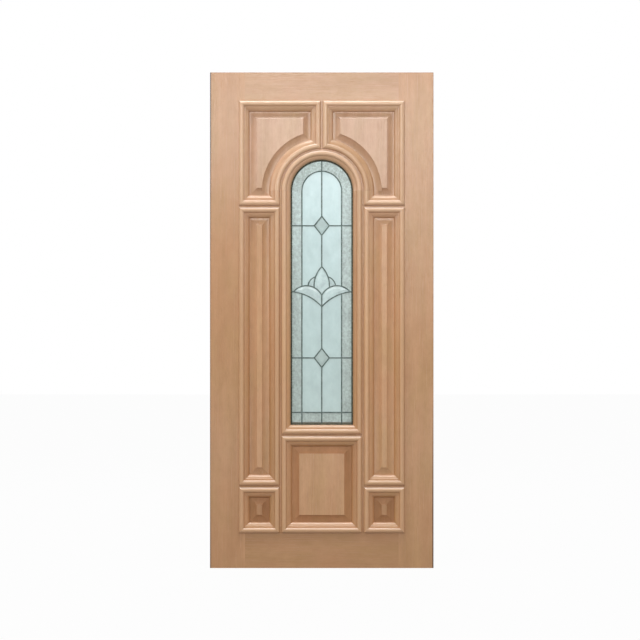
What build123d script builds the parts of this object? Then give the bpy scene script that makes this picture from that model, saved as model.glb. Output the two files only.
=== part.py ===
from build123d import *
import os
from dataclasses import dataclass
from math import atan2, degrees, sqrt

# Timber entrance door leaf with an arched leadlight, raised panels and bolection mouldings on both faces.
# X runs across the leaf from its hinge edge, Y through its thickness with the outer face towards -Y,
# and Z up from its bottom edge.  Lengths are in millimetres.

# The leaf
DOOR_WIDTH = 920.0
DOOR_HEIGHT = 2040.0
DOOR_THICKNESS = 40.0
ARRIS_RADIUS = 1.5

# Bolection moulding: its lap on the frame, and the bare strip left between two neighbours
MOULDING_LAP = 25.0
MOULDING_SPACING = 7.0
RIM_EDGE = 3.0
RIM_WIDTH = 22.0
RIM_BULGE = 7.5
QUIRK_TOP = 6.0
QUIRK_DEPTH = 2.5
QUIRK_WIDTH = 1.5
OVOLO_FOOT = -10.0
OVOLO_BULGE = 3.0
PANEL_TOE = 18.0
GLASS_TOE = 12.5
REBATE_FIT = 0.8
MITRE_GAP = 0.3
RIM_FLATS = 3
OVOLO_FLATS = 2

# Frame members
STILE_WIDTH = 144.0
TOP_RAIL_WIDTH = 142.0
BOTTOM_RAIL_WIDTH = 170.0
CROSS_WIDTH = 2 * MOULDING_LAP + MOULDING_SPACING
GLASS_OPENING_WIDTH = 282.0
LOWER_RAIL_HEIGHT = 337.0
SILL_RAIL_HEIGHT = 547.5
TOP_MULLION_LENGTH = 147.0
UPPER_RAIL_DROP = 64.5
TENON_LENGTH = 24.0
TENON_THICKNESS = 12.0
TENON_SHOULDER = 14.0

# Raised panels, held by their margins in grooves of the frame
PANEL_MARGIN_THICKNESS = 12.0
PANEL_FIELD_THICKNESS = 36.0
PANEL_BEVEL = 30.0
PANEL_FIELD_STEP = 3.0
PANEL_HOLLOW = 2.3
HOLLOW_FLATS = 2
PANEL_TONGUE = 8.0
GROOVE_DEPTH = 10.0
GROOVE_FIT = 0.2

# Leadlight: panes held in lead cames, an edge came round them, and a tulip between two diamonds
PANE_THICKNESS = 4.0
PANE_FIT = 0.4
CAME_FACE = 5.0
CAME_HEART = 1.6
CAME_FLANGE = 1.25
CAME_FIT = 0.25
EDGE_CAME_FACE = 16.0
EDGE_CAME_HEART = 2.0
LIGHT_FIT = 3.0
BORDER_WIDTH = 46.5
FOOT_BORDER_HEIGHT = 51.0
DIAMOND_WIDTH = 62.0
DIAMOND_HEIGHT = 79.0
DIAMOND_MARGIN = 225.0
BUD_TIP_RISE = 104.0
BUD_SHOULDER_RISE = 12.0
BUD_WIDTH = 62.0
BUD_BULGE = 11.0
PETAL_NECK_DROP = 15.0
PETAL_FOOT_DROP = 61.5
PETAL_TOP_BULGE = 32.5
PETAL_UNDERSIDE_BULGE = 12.0
SEPAL_ROOT_SHARE = 0.49
SEPAL_SPREAD_SHARE = 0.52
SEPAL_BULGE = 9.0
BEVEL_WIDTH = 9.0
BEVEL_RISE = 2.0

# Working limits: how far a length runs past its corners, in widths, and when two sides count as one run
RUN_PAST = 2.0
SMOOTH_TURN = 0.05

# Places that follow from the sizes above
CENTRE_X = DOOR_WIDTH / 2
GLASS_HALF = GLASS_OPENING_WIDTH / 2
MULLION_LEFT = CENTRE_X - GLASS_HALF - CROSS_WIDTH
TOP_OPENING = DOOR_HEIGHT - TOP_RAIL_WIDTH
LOWER_RAIL_TOP = LOWER_RAIL_HEIGHT + CROSS_WIDTH / 2
LOWER_RAIL_FOOT = LOWER_RAIL_HEIGHT - CROSS_WIDTH / 2
SILL_RAIL_TOP = SILL_RAIL_HEIGHT + CROSS_WIDTH / 2
SILL_RAIL_FOOT = SILL_RAIL_HEIGHT - CROSS_WIDTH / 2
ARCH_OUTER = GLASS_HALF + CROSS_WIDTH
SPRING_HEIGHT = TOP_OPENING - TOP_MULLION_LENGTH - ARCH_OUTER
UPPER_RAIL_HEIGHT = SPRING_HEIGHT - UPPER_RAIL_DROP
UPPER_RAIL_TOP = UPPER_RAIL_HEIGHT + CROSS_WIDTH / 2
UPPER_RAIL_FOOT = UPPER_RAIL_HEIGHT - CROSS_WIDTH / 2
ARCH_CENTRE = Vector(CENTRE_X, 0, SPRING_HEIGHT)
FRONT = Vector(0, -1, 0)
CAME_THICKNESS = PANE_THICKNESS + 2 * (CAME_FIT + CAME_FLANGE)
MIRROR_PLANE = Plane.YZ.offset(CENTRE_X)
LIGHT_HALF = GLASS_HALF - LIGHT_FIT
LIGHT_FOOT = SILL_RAIL_TOP + LIGHT_FIT
LIGHT_TOP = SPRING_HEIGHT + LIGHT_HALF
BORDER_HALF = GLASS_HALF - GLASS_TOE - BORDER_WIDTH
BORDER_FOOT = SILL_RAIL_TOP + GLASS_TOE + FOOT_BORDER_HEIGHT
BORDER_TOP = SPRING_HEIGHT + BORDER_HALF
DIAMOND_HEIGHTS = (BORDER_FOOT + DIAMOND_MARGIN, BORDER_TOP - DIAMOND_MARGIN)
TULIP_HEIGHT = (BORDER_FOOT + BORDER_TOP) / 2


@dataclass(frozen=True)
class OpeningSide:
    """One side of an opening, run with the opening on its left as seen from the front.

    A straight side has no centre.  An arc turns about its centre, anticlockwise for turn 1 and clockwise
    for turn -1.
    """

    start: Vector
    end: Vector
    centre: Vector = None
    turn: int = 0

    @property
    def axis(self):
        """Axis that an arc turns about in its direction of travel."""
        return Axis(self.centre, FRONT * self.turn)

    @property
    def sweep(self):
        """Angle that an arc turns through, in degrees."""
        first = self.start - self.centre
        last = self.end - self.centre
        angle = degrees(atan2(last.Z, last.X) - atan2(first.Z, first.X))
        return (angle * self.turn) % 360

    def at(self, share):
        """Point at a share of the way along the side."""
        if not self.turn:
            return self.start + (self.end - self.start) * share
        return Vertex(self.start).rotate(self.axis, self.sweep * share).center()

    def normal(self, point):
        """Direction into the opening at a point of the side."""
        if self.turn:
            return (self.centre - point).normalized() * self.turn
        along = (self.end - self.start).normalized()
        return Vector(-along.Z, 0, along.X)

    def tangent(self, point):
        """Direction of travel at a point of the side."""
        inward = self.normal(point)
        return Vector(inward.Z, 0, -inward.X)


def straight_sides(points):
    """Closed ring of straight sides through points given as pairs of X and Z."""
    corners = [Vector(x, 0, z) for x, z in points]
    return [OpeningSide(a, b) for a, b in zip(corners, corners[1:] + corners[:1])]


def corner(before, after, inset):
    """Point where two neighbouring sides meet after both have moved an inset into the opening."""
    shared = after.start
    if not before.turn and not after.turn:
        bisector = before.normal(shared) + after.normal(shared)
        return shared + bisector * (2 * inset / bisector.dot(bisector))
    arc, line = (before, after) if before.turn else (after, before)
    radius = (shared - arc.centre).length - arc.turn * inset
    along = line.tangent(shared)
    reach = shared + line.normal(shared) * inset - arc.centre
    middle = -along.dot(reach)
    half_chord = sqrt(max(0.0, middle**2 - reach.dot(reach) + radius**2))
    travel = min(middle - half_chord, middle + half_chord, key=abs)
    return arc.centre + reach + along * travel


def neighbours(sides):
    """Each side with the one before it and the one after it."""
    return zip(sides[-1:] + sides[:-1], sides, sides[1:] + sides[:1])


def inset_sides(sides, inset):
    """The ring of sides moved into the opening, or out of it for a negative inset."""
    return [
        OpeningSide(corner(before, side, inset), corner(side, after, inset), side.centre, side.turn)
        for before, side, after in neighbours(sides)
    ]


def side_edge(side):
    """Line or arc of a side."""
    if side.turn:
        return ThreePointArc(side.start, side.at(0.5), side.end)
    return Line(side.start, side.end)


def side_face(sides):
    """Flat face inside a ring of sides."""
    return make_face([side_edge(side) for side in sides])


def slab(sides, thickness):
    """Plate of a thickness, centred in the leaf, with a ring of sides as its outline."""
    return extrude(side_face(sides), amount=thickness / 2, both=True)


def is_tangent(before, after):
    """Whether one side runs on smoothly into the next."""
    turn = after.normal(after.start) - before.normal(after.start)
    return turn.length < SMOOTH_TURN


def carry(section, side, lead, tail):
    """Section of inward distance and height above the front face, carried along a side.

    It starts a lead before the side and ends a tail after it.
    """
    face_point = side.start + FRONT * (DOOR_THICKNESS / 2)
    place = Plane(face_point, x_dir=side.normal(side.start), z_dir=side.tangent(side.start))
    if not side.turn:
        length = (side.end - side.start).length
        return extrude(place.offset(-lead) * section, amount=length + lead + tail)
    radius = (side.start - side.centre).length
    face = (place * section).rotate(side.axis, -degrees(lead / radius))
    return revolve(face, side.axis, side.sweep + degrees((lead + tail) / radius))


def flats(start, end, bulge, count):
    """Ends of the flats that stand in for an arc between two points of a section.

    The arc stands off its chord by the bulge, to the left of its direction.
    """
    chord = Vector(*end) - Vector(*start)
    left = Vector(-chord.Y, chord.X).normalized()
    arc = ThreePointArc(start, Vector(*start) + chord / 2 + left * bulge, end)
    return [arc @ (step / count) for step in range(count + 1)]


def moulding_section(toe, foot):
    """Bolection section: a round rim on the frame, a quirk, and an ovolo down to a foot in the opening.

    Both curves are worked in flats, so that the arched lengths stay light.
    """
    quirk = RIM_WIDTH - MOULDING_LAP
    shelf = (quirk + QUIRK_WIDTH, QUIRK_TOP - QUIRK_DEPTH)
    outline = Polyline(
        *flats((-MOULDING_LAP, RIM_EDGE), (quirk, QUIRK_TOP), RIM_BULGE, RIM_FLATS),
        (quirk, shelf[1]),
        *flats(shelf, (toe, OVOLO_FOOT), OVOLO_BULGE, OVOLO_FLATS),
        (toe, -foot),
        (REBATE_FIT, -foot),
        (REBATE_FIT, 0),
        (-MOULDING_LAP, 0),
        close=True,
    )
    return make_face(outline)


def mitre(piece, side, end, before, after, toe):
    """Moulding length cut at one end of its side, along the line on which it meets its neighbour."""
    outer = corner(before, after, -MOULDING_LAP)
    inner = corner(before, after, toe)
    across = (inner - outer).normalized()
    keep = Vector(across.Z, 0, -across.X)
    inward = side.tangent(side.start) if end == "start" else side.tangent(side.end) * -1
    if keep.dot(inward) < 0:
        keep = keep * -1
    return split(piece, bisect_by=Plane(outer + keep * (MITRE_GAP / 2), z_dir=keep), keep=Keep.TOP)


def moulding(sides, toe, foot):
    """Mitred lengths of moulding round an opening, on the front face."""
    section = moulding_section(toe, foot)
    overrun = RUN_PAST * (MOULDING_LAP + toe)
    lengths = []
    for before, side, after in neighbours(sides):
        lead = 0 if is_tangent(before, side) else overrun
        tail = 0 if is_tangent(side, after) else overrun
        piece = carry(section, side, lead, tail)
        piece = mitre(piece, side, "start", before, side, toe)
        lengths.append(mitre(piece, side, "end", side, after, toe))
    return lengths


def bevel_section():
    """Waste cut from a panel between its margin and its raised field, hollowed in flats."""
    margin = (PANEL_MARGIN_THICKNESS - DOOR_THICKNESS) / 2
    field = (PANEL_FIELD_THICKNESS - DOOR_THICKNESS) / 2
    field_edge = PANEL_TOE + PANEL_BEVEL
    outline = Polyline(
        (-PANEL_TONGUE, margin),
        *flats((PANEL_TOE, margin), (field_edge, field - PANEL_FIELD_STEP), -PANEL_HOLLOW, HOLLOW_FLATS),
        (field_edge, 0),
        (-PANEL_TONGUE, 0),
        close=True,
    )
    return make_face(outline)


def raised_panel(sides):
    """Panel with a raised field and bevelled borders on both faces, and a tongue on all sides."""
    waste = []
    overrun = RUN_PAST * (PANEL_TOE + PANEL_BEVEL)
    for before, side, after in neighbours(sides):
        lead = 0 if is_tangent(before, side) else overrun
        tail = 0 if is_tangent(side, after) else overrun
        cutter = carry(bevel_section(), side, lead, tail)
        waste += [cutter, mirror(cutter, about=Plane.XZ)]
    raised = slab(sides, PANEL_FIELD_THICKNESS) - waste
    return raised + slab(inset_sides(sides, -PANEL_TONGUE), PANEL_MARGIN_THICKNESS)


def bar(x_low, x_high, z_low, z_high, thickness):
    """Square-edged bar between two pairs of edges, centred in the leaf's thickness."""
    centre = Pos((x_low + x_high) / 2, 0, (z_low + z_high) / 2)
    return centre * Box(x_high - x_low, thickness, z_high - z_low)


def rail_tenons(x_low, x_high, z_low, z_high):
    """Tenons at both ends of a rail, as one thin bar through it."""
    return bar(
        x_low - TENON_LENGTH, x_high + TENON_LENGTH, z_low + TENON_SHOULDER, z_high - TENON_SHOULDER,
        TENON_THICKNESS,
    )


def mullion_tenons(x_low, x_high, z_low, z_high):
    """Tenons at both ends of a mullion, as one thin bar through it."""
    return bar(
        x_low + TENON_SHOULDER, x_high - TENON_SHOULDER, z_low - TENON_LENGTH, z_high + TENON_LENGTH,
        TENON_THICKNESS,
    )


def flip(shape):
    """The same shape on the other side of the leaf's centre line."""
    return mirror(shape, about=MIRROR_PLANE)


def rectangle(x_low, x_high, z_low, z_high):
    """Sides of a rectangular opening."""
    return straight_sides([(x_low, z_low), (x_high, z_low), (x_high, z_high), (x_low, z_high)])


def spandrel():
    """Sides of the opening over the left cross rail, hollowed by the arch head."""
    top_mullion_left = CENTRE_X - CROSS_WIDTH / 2
    crown = SPRING_HEIGHT + sqrt(ARCH_OUTER**2 - (CROSS_WIDTH / 2) ** 2)
    foot, toe, spring, top, shoulder, head = [
        Vector(x, 0, z)
        for x, z in [
            (STILE_WIDTH, UPPER_RAIL_TOP),
            (MULLION_LEFT, UPPER_RAIL_TOP),
            (MULLION_LEFT, SPRING_HEIGHT),
            (top_mullion_left, crown),
            (top_mullion_left, TOP_OPENING),
            (STILE_WIDTH, TOP_OPENING),
        ]
    ]
    return [
        OpeningSide(foot, toe),
        OpeningSide(toe, spring),
        OpeningSide(spring, top, ARCH_CENTRE, -1),
        OpeningSide(top, shoulder),
        OpeningSide(shoulder, head),
        OpeningSide(head, foot),
    ]


def arched(half_width, foot):
    """Sides of an upright opening with a round head about the arch centre."""
    left_foot, right_foot, right_spring, left_spring = [
        Vector(CENTRE_X + x, 0, z)
        for x, z in [
            (-half_width, foot),
            (half_width, foot),
            (half_width, SPRING_HEIGHT),
            (-half_width, SPRING_HEIGHT),
        ]
    ]
    return [
        OpeningSide(left_foot, right_foot),
        OpeningSide(right_foot, right_spring),
        OpeningSide(right_spring, left_spring, ARCH_CENTRE, 1),
        OpeningSide(left_spring, left_foot),
    ]


OPENINGS = {
    "spandrel": spandrel(),
    "tall": rectangle(STILE_WIDTH, MULLION_LEFT, LOWER_RAIL_TOP, UPPER_RAIL_FOOT),
    "small": rectangle(STILE_WIDTH, MULLION_LEFT, BOTTOM_RAIL_WIDTH, LOWER_RAIL_FOOT),
    "bottom": rectangle(CENTRE_X - GLASS_HALF, CENTRE_X + GLASS_HALF, BOTTOM_RAIL_WIDTH, SILL_RAIL_FOOT),
}
GLASS_OPENING = arched(GLASS_HALF, SILL_RAIL_TOP)


def frame_members():
    """Stiles, rails and mullions with their tenons, mortises and panel grooves."""
    inner_right = DOOR_WIDTH - STILE_WIDTH
    top_rail_place = (STILE_WIDTH, inner_right, TOP_OPENING, DOOR_HEIGHT)
    bottom_rail_place = (STILE_WIDTH, inner_right, 0, BOTTOM_RAIL_WIDTH)
    upper_rail_place = (STILE_WIDTH, MULLION_LEFT, UPPER_RAIL_FOOT, UPPER_RAIL_TOP)
    lower_rail_place = (STILE_WIDTH, MULLION_LEFT, LOWER_RAIL_FOOT, LOWER_RAIL_TOP)
    sill_rail_place = (CENTRE_X - GLASS_HALF, CENTRE_X + GLASS_HALF, SILL_RAIL_FOOT, SILL_RAIL_TOP)
    mullion_place = (MULLION_LEFT, CENTRE_X - GLASS_HALF, BOTTOM_RAIL_WIDTH, SPRING_HEIGHT)
    top_mullion_place = (
        CENTRE_X - CROSS_WIDTH / 2, CENTRE_X + CROSS_WIDTH / 2, SPRING_HEIGHT + ARCH_OUTER, TOP_OPENING,
    )

    top_tenons = rail_tenons(*top_rail_place)
    bottom_tenons = rail_tenons(*bottom_rail_place)
    upper_tenons = rail_tenons(*upper_rail_place)
    lower_tenons = rail_tenons(*lower_rail_place)
    sill_tenons = rail_tenons(*sill_rail_place)
    mullion_tenon = mullion_tenons(*mullion_place)
    top_mullion_tenon = mullion_tenons(*top_mullion_place)

    leaf = bar(0, DOOR_WIDTH, 0, DOOR_HEIGHT, DOOR_THICKNESS)
    leaf = fillet(leaf.edges().filter_by(Axis.Z), ARRIS_RADIUS)
    groove_width = PANEL_MARGIN_THICKNESS + 2 * GROOVE_FIT
    grooves = [slab(inset_sides(sides, -GROOVE_DEPTH), groove_width) for sides in OPENINGS.values()]
    grooves += [flip(groove) for groove in grooves[:3]]

    arch_drum = Pos(ARCH_CENTRE) * Rot(90, 0, 0) * Cylinder(ARCH_OUTER, RUN_PAST * DOOR_THICKNESS)
    arch_bore = Pos(ARCH_CENTRE) * Rot(90, 0, 0) * Cylinder(GLASS_HALF, RUN_PAST * DOOR_THICKNESS)
    arch_block = bar(
        MULLION_LEFT, DOOR_WIDTH - MULLION_LEFT, SPRING_HEIGHT, SPRING_HEIGHT + ARCH_OUTER, DOOR_THICKNESS,
    )
    top_mullion_block = bar(
        top_mullion_place[0], top_mullion_place[1], SPRING_HEIGHT + GLASS_HALF, TOP_OPENING, DOOR_THICKNESS,
    )

    stile = bar(0, STILE_WIDTH, 0, DOOR_HEIGHT, DOOR_THICKNESS) & leaf
    stile = stile - [top_tenons, bottom_tenons, upper_tenons, lower_tenons] - grooves
    mullion = bar(*mullion_place, DOOR_THICKNESS) + mullion_tenon
    mullion = mullion - [upper_tenons, lower_tenons, sill_tenons] - grooves
    upper_rail = bar(*upper_rail_place, DOOR_THICKNESS) + upper_tenons - grooves
    lower_rail = bar(*lower_rail_place, DOOR_THICKNESS) + lower_tenons - grooves
    top_rail = bar(*top_rail_place, DOOR_THICKNESS) + top_tenons
    bottom_rail = bar(*bottom_rail_place, DOOR_THICKNESS) + bottom_tenons
    arch_head = (arch_block & arch_drum) - arch_bore
    return {
        "hinge_stile": stile,
        "lock_stile": flip(stile),
        "top_rail": top_rail - top_mullion_tenon - grooves,
        "bottom_rail": bottom_rail - [mullion_tenon, flip(mullion_tenon)] - grooves,
        "left_mullion": mullion,
        "right_mullion": flip(mullion),
        "arch_head": arch_head - [mullion_tenon, flip(mullion_tenon), top_mullion_tenon] - grooves,
        "top_mullion": (top_mullion_block - arch_drum) + top_mullion_tenon - grooves,
        "left_upper_rail": upper_rail,
        "right_upper_rail": flip(upper_rail),
        "left_lower_rail": lower_rail,
        "right_lower_rail": flip(lower_rail),
        "sill_rail": bar(*sill_rail_place, DOOR_THICKNESS) + sill_tenons - grooves,
    }


def panels():
    """Raised panels of the seven panelled openings."""
    made = {name: raised_panel(sides) for name, sides in OPENINGS.items()}
    nodes = {"bottom_panel": made["bottom"]}
    for name in ("spandrel", "tall", "small"):
        nodes[f"left_{name}_panel"] = made[name]
        nodes[f"right_{name}_panel"] = flip(made[name])
    return nodes


def mouldings():
    """Mouldings round every panel and round the glass, on the front and the back."""
    panel_foot = (DOOR_THICKNESS - PANEL_MARGIN_THICKNESS) / 2
    glass_foot = (DOOR_THICKNESS - CAME_THICKNESS) / 2
    fronts = {"glass": moulding(GLASS_OPENING, GLASS_TOE, glass_foot)}
    for name, sides in OPENINGS.items():
        lengths = moulding(sides, PANEL_TOE, panel_foot)
        if name == "bottom":
            fronts["bottom"] = lengths
        else:
            fronts[f"left_{name}"] = lengths
            fronts[f"right_{name}"] = [flip(length) for length in lengths]
    nodes = {}
    for name, lengths in fronts.items():
        nodes[f"front_{name}_moulding"] = Compound(lengths)
        nodes[f"back_{name}_moulding"] = Compound([mirror(length, about=Plane.XZ) for length in lengths])
    return nodes


def light_point(x, z):
    """Point of the leadlight, X from the leaf's centre line."""
    return Vector(CENTRE_X + x, 0, z)


def bowed(start, end, bulge):
    """Arc between two points that stands off their chord, to the left of its direction."""
    chord = end - start
    left = Vector(-chord.Z, 0, chord.X).normalized()
    radius = (chord.dot(chord) / 4 + bulge**2) / (2 * bulge)
    return OpeningSide(start, end, (start + end) / 2 + left * (bulge - radius), -1)


def mirrored_sides(sides):
    """The same sides on the other side of the leaf's centre line, run the other way."""
    across = [
        [None if point is None else Vector(2 * CENTRE_X - point.X, 0, point.Z) for point in points]
        for points in [(side.end, side.start, side.centre) for side in reversed(sides)]
    ]
    return [OpeningSide(*points, side.turn) for points, side in zip(across, reversed(sides))]


def diamond(height):
    """Sides of a diamond pane centred at a height."""
    half = DIAMOND_HEIGHT / 2
    points = [(0, -half), (DIAMOND_WIDTH / 2, 0), (0, half), (-DIAMOND_WIDTH / 2, 0)]
    return straight_sides([(CENTRE_X + x, height + z) for x, z in points])


def tulip_half():
    """Right half of the tulip, what lies behind first: each piece's sides, and those that carry a came."""
    neck = light_point(0, TULIP_HEIGHT - PETAL_NECK_DROP)
    foot = light_point(0, TULIP_HEIGHT - PETAL_FOOT_DROP)
    petal_tip = light_point(LIGHT_HALF - EDGE_CAME_FACE - CAME_FACE, TULIP_HEIGHT)
    bud_tip = light_point(0, TULIP_HEIGHT + BUD_TIP_RISE)
    shoulder = light_point(BUD_WIDTH / 2, TULIP_HEIGHT + BUD_SHOULDER_RISE)
    petal_top = bowed(neck, petal_tip, PETAL_TOP_BULGE)
    petal_underside = bowed(foot, petal_tip, PETAL_UNDERSIDE_BULGE)
    bud_side = bowed(bud_tip, shoulder, BUD_BULGE)
    sepal_root = bud_side.at(SEPAL_ROOT_SHARE) - Vector(CAME_FACE / 2, 0, 0)
    sepal_tip = petal_top.at(SEPAL_SPREAD_SHARE) - Vector(0, 0, CAME_FACE / 2)
    sepal_side = bowed(sepal_root, sepal_tip, SEPAL_BULGE)
    petal = [petal_top, petal_underside, OpeningSide(foot, neck)]
    return [
        ([sepal_side, OpeningSide(sepal_tip, shoulder), OpeningSide(shoulder, sepal_root)], [sepal_side]),
        ([bud_side, OpeningSide(shoulder, neck), OpeningSide(neck, bud_tip)], [bud_side]),
        (petal, petal),
    ]


def came_strip(side, width, thickness):
    """Strip of came along a side."""
    start_step = side.normal(side.start) * (width / 2)
    end_step = side.normal(side.end) * (width / 2)
    left = OpeningSide(side.start + start_step, side.end + end_step, side.centre, side.turn)
    right = OpeningSide(side.start - start_step, side.end - end_step, side.centre, side.turn)
    ends = [Line(left.start, right.start), Line(left.end, right.end)]
    face = make_face([side_edge(left), side_edge(right), *ends])
    return extrude(face, amount=thickness / 2, both=True)


def came_net(width, thickness):
    """Net of the inner cames at one face width, out to the edge of the leadlight."""
    lines = arched(BORDER_HALF, LIGHT_FOOT)[1:]
    lines.append(OpeningSide(light_point(0, LIGHT_FOOT), light_point(0, LIGHT_TOP)))
    for height in (BORDER_FOOT, *DIAMOND_HEIGHTS):
        lines.append(OpeningSide(light_point(-LIGHT_HALF, height), light_point(LIGHT_HALF, height)))
    for edge in (-1, 1):
        inner = light_point(edge * BORDER_HALF, TULIP_HEIGHT)
        lines.append(OpeningSide(inner, light_point(edge * LIGHT_HALF, TULIP_HEIGHT)))
    net = Part() + [came_strip(side, width, thickness) for side in lines]
    for height in DIAMOND_HEIGHTS:
        sides = diamond(height)
        net = net - slab(sides, thickness) + [came_strip(side, width, thickness) for side in sides]
    for sides, leaded in tulip_half():
        piece = slab(sides, thickness)
        cames = Part() + [came_strip(side, width, thickness) for side in leaded]
        net = net - [piece, flip(piece)] + [cames, flip(cames)]
    return net & slab(arched(LIGHT_HALF, LIGHT_FOOT), thickness)


def edge_came(width, thickness):
    """Flat of the came round the leadlight's edge."""
    outline = arched(LIGHT_HALF, LIGHT_FOOT)
    return slab(outline, thickness) - slab(inset_sides(outline, width), thickness)


def lead_cames():
    """Cames as one soldered net: hearts between the panes, and flanges over them on both faces."""
    heart_depth = CAME_THICKNESS - 2 * CAME_FLANGE
    heart = came_net(CAME_HEART, heart_depth) + edge_came(EDGE_CAME_HEART, heart_depth)
    flange = came_net(CAME_FACE, CAME_FLANGE) + edge_came(EDGE_CAME_FACE, CAME_FLANGE)
    front = Pos(FRONT * ((heart_depth + CAME_FLANGE) / 2)) * flange
    return heart + [front, mirror(front, about=Plane.XZ)]


def bevel_trough():
    """Waste ground from bevelled panes, to the same slope on both sides of a came."""
    pane_face = (PANE_THICKNESS - DOOR_THICKNESS) / 2
    near = CAME_FACE / 2 + PANE_FIT
    far = near + BEVEL_WIDTH
    crest = pane_face + BEVEL_RISE
    outline = Polyline(
        (-far, 0), (-far, crest), (-near, pane_face), (near, pane_face), (far, crest), (far, 0), close=True,
    )
    return make_face(outline)


def ground_fronts(pieces, cames):
    """Raised fronts of bevelled panes, ground down beside every came that borders them."""
    lift = Pos(FRONT * ((PANE_THICKNESS + BEVEL_RISE) / 2))
    block = Part() + [lift * slab(sides, BEVEL_RISE) for sides in pieces]
    return block - [carry(bevel_trough(), side, 0, 0) for side in cames]


def panes():
    """Panes of the leadlight, by kind of glass: border, field, and bevelled diamonds and tulip."""
    light = slab(arched(LIGHT_HALF, LIGHT_FOOT), PANE_THICKNESS)
    cut = light - came_net(CAME_HEART + 2 * PANE_FIT, PANE_THICKNESS)
    cut = cut - edge_came(EDGE_CAME_HEART + PANE_FIT, PANE_THICKNESS)
    diamond_rings = [diamond(height) for height in DIAMOND_HEIGHTS]
    diamonds = Part() + [slab(sides, PANE_THICKNESS) for sides in diamond_rings]
    diamond_fronts = ground_fronts(diamond_rings, sum(diamond_rings, []))
    rings = [sides for sides, leaded in tulip_half()]
    rings += [mirrored_sides(sides) for sides in rings]
    flower_cames = sum([leaded for sides, leaded in tulip_half()], [])
    flower_cames += mirrored_sides(flower_cames)
    flower = Part() + [slab(sides, PANE_THICKNESS) for sides in rings]
    inside = slab(arched(BORDER_HALF, BORDER_FOOT), PANE_THICKNESS)
    return {
        "border_glass": cut - inside - flower,
        "field_glass": (cut & inside) - diamonds - flower,
        "diamond_glass": (cut & diamonds) + diamond_fronts,
        "tulip_glass": (cut & flower) + ground_fronts(rings, flower_cames),
    }


def export_nodes(nodes):
    """One file for each named piece of the door."""
    os.makedirs("parts", exist_ok=True)
    for name, shape in nodes.items():
        export_step(shape, f"parts/{name}.step")


leadlight = {"lead_cames": lead_cames()} | panes()
export_nodes(frame_members() | panels() | mouldings() | leadlight)
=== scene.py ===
import math

import bpy
import numpy as np
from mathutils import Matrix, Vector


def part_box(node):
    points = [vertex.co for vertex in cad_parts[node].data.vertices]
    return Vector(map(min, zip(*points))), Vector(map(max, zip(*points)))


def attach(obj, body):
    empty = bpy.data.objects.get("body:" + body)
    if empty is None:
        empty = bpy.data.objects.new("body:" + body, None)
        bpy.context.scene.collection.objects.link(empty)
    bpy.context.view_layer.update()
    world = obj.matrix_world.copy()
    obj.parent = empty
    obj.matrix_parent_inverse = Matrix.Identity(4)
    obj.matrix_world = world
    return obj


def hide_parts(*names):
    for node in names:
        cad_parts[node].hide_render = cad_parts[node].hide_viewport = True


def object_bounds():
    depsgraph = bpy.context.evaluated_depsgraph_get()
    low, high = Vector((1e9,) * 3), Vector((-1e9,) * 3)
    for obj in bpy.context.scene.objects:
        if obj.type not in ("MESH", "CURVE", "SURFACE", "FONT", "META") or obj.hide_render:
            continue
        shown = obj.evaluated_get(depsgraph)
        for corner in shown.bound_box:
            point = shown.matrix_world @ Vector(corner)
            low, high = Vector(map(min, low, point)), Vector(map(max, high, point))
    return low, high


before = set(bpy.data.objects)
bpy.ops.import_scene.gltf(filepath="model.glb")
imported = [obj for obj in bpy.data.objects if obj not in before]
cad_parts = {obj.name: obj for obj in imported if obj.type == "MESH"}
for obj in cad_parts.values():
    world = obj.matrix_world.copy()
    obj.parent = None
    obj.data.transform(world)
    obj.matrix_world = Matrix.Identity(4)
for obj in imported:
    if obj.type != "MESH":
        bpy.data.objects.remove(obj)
cad_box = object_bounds()
bpy.context.scene.view_settings.view_transform = "Standard"


# Stiles and mullions: the upright members of the leaf, planed from solid hardwood with the grain along them,
# mortised for the rails and glued up.  A darker strip along the long outer edges is painted shade, where the edge
# turns from the light; it is painted over only part of the height.
GRAIN_UP = (0.0, 0.0, 0.0)
STILE_PALE = (0.558, 0.310, 0.156)
STILE_DEEP = (0.383, 0.193, 0.080)
UPRIGHT_TONES = {
    "hinge_stile": -0.08, "lock_stile": 0.02, "left_mullion": 0.0, "right_mullion": 0.1, "top_mullion": 0.0,
}
# Painted shade along the leaf's two outer edges: its colour, its width, its soft inner side and the heights it
# covers.
LEAF_EDGE_SHADE = (0.100, 0.048, 0.022)
LEAF_EDGE_SHADE_WIDTH = 0.0058
LEAF_EDGE_SHADE_SOFTNESS = 0.7
LEAF_EDGE_SHADE_FADE = {
    "hinge_stile": ((1.1, 1.8, 0.35, 1.0), (0.6, 0.1, 0.0, 0.6)),
    "lock_stile": ((0.7, 0.3, 0.12, 1.0), (0.3, 0.0, 0.0, 1.0)),
}
LOG_SEED = 11
LOG_REACH = 9.0
FIGURE = {"stretch": (1.0, 1.0, 0.08), "scale": 17.0, "detail": 3.0}
BLOTCHES = {"stretch": (1.0, 1.0, 0.5), "scale": 38.0, "detail": 4.0, "roughness": 0.6}
FINE_LINES = {"stretch": (1.0, 1.0, 0.018), "scale": 190.0, "detail": 3.0, "roughness": 0.6}
OPEN_PORES = {"stretch": (1.0, 1.0, 0.035), "scale": 1300.0, "detail": 1.0}
CLOUDS = {"stretch": (1.0, 1.0, 0.35), "scale": 13.0, "detail": 3.0}
FIGURE_SHARE, LINES_SHARE, BLOTCHES_SHARE = 0.9, 0.45, 0.65
LEVEL_SHIFT = -0.40
PORE_RANGE = (0.60, 0.72)
PORE_DARK = (0.16, 0.08, 0.04)
PORE_SHARE = 0.16
PORE_DEPTH = -0.7
PINK_CAST = (1.0, 0.900, 0.88)
PINK_RANGE = (0.48, 0.68, 0.0, 0.35)
OLIVE_CAST = (0.92, 0.96, 0.84)
OLIVE_RANGE = (0.52, 0.34, 0.0, 0.55)
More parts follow.
